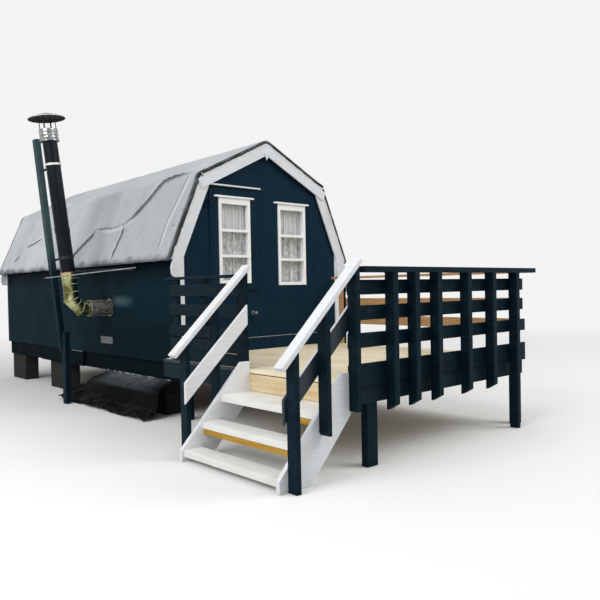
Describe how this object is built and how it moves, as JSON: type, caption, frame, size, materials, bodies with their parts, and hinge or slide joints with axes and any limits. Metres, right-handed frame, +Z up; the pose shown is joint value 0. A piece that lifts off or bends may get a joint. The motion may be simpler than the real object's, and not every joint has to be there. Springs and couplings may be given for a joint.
{
  "type": "shepherds hut",
  "caption": "Timber hut with a fabric-covered gambrel roof, glazed door and window, raised deck with a railing, open side stairs and an outside stove flue.",
  "frame": {"origin": "centre of the whole footprint, on the ground", "axes": "+Z up, +Y along the hut from the deck to the rear gable, +X to the right as seen from in front of the door"},
  "size_m": [3.742, 8.698, 3.7223],
  "materials": {
    "concrete_block": "weathered concrete",
    "dark_timber": "satin paint",
    "gable_paint": "satin paint",
    "white_timber": "satin paint",
    "floor_timber": "bare boards",
    "roof_board": "bare boards",
    "roof_fabric": "coated roof membrane, creased",
    "window_glass": "clear",
    "curtain_lace": "lace",
    "black_iron": "black japanned",
    "latch_metal": "dull zinc",
    "vent_plastic": "weathered grey",
    "deck_timber": "bare treated softwood",
    "rail_paint": "satin paint",
    "stainless_steel": "bright, heat-tinted",
    "flue_black": "semi-gloss enamel",
    "bracket_steel": "dull zinc",
    "sheet_plastic": "crumpled black sheet"
  },
  "bodies": {
    "hut": {"support_piers": "concrete_block", "chassis": "dark_timber", "floor_joists": "floor_timber", "hut_floor": "floor_timber", "left_wall": "dark_timber", "right_wall": "dark_timber", "rear_wall": "dark_timber", "front_wall_left": "gable_paint", "front_wall_right": "gable_paint", "front_wall_head": "gable_paint", "plinth_board": "gable_paint", "corner_boards": "white_timber", "bargeboards_front": "white_timber", "bargeboards_rear": "white_timber", "roof_lower_panels": "roof_board", "roof_upper_panels": "roof_board", "roof_cover": "roof_fabric", "hinge_lugs": "black_iron", "door_drip": "white_timber", "window_frame": "white_timber", "window_glass": "window_glass", "window_curtain": "curtain_lace", "wall_vent": "vent_plastic", "deck_boards": "deck_timber", "deck_frame": "deck_timber", "deck_legs": "dark_timber", "railing_front": "rail_paint", "railing_left": "rail_paint", "railing_right": "rail_paint", "stair_stringers": "white_timber", "stair_treads": "white_timber", "handrails": "white_timber", "stair_posts": "rail_paint", "flue_elbow": "stainless_steel", "flue_pipe": "flue_black", "flue_brackets": "bracket_steel", "flue_cowl": "stainless_steel", "flue_post": "rail_paint", "skirt_sheet": "sheet_plastic"},
    "door": {"door_leaf": "gable_paint", "door_window_frame": "white_timber", "door_window_glass": "window_glass", "door_curtain": "curtain_lace", "door_hinges": "black_iron", "door_furniture": "latch_metal"}
  },
  "joints": [
    {"name": "door_hinge", "type": "hinge", "parent": "hut", "child": "door", "pos_m": [-0.42201, -1.411, 1.7835], "axis": [0, 0, -1], "range_deg": [0, 120]}
  ]
}
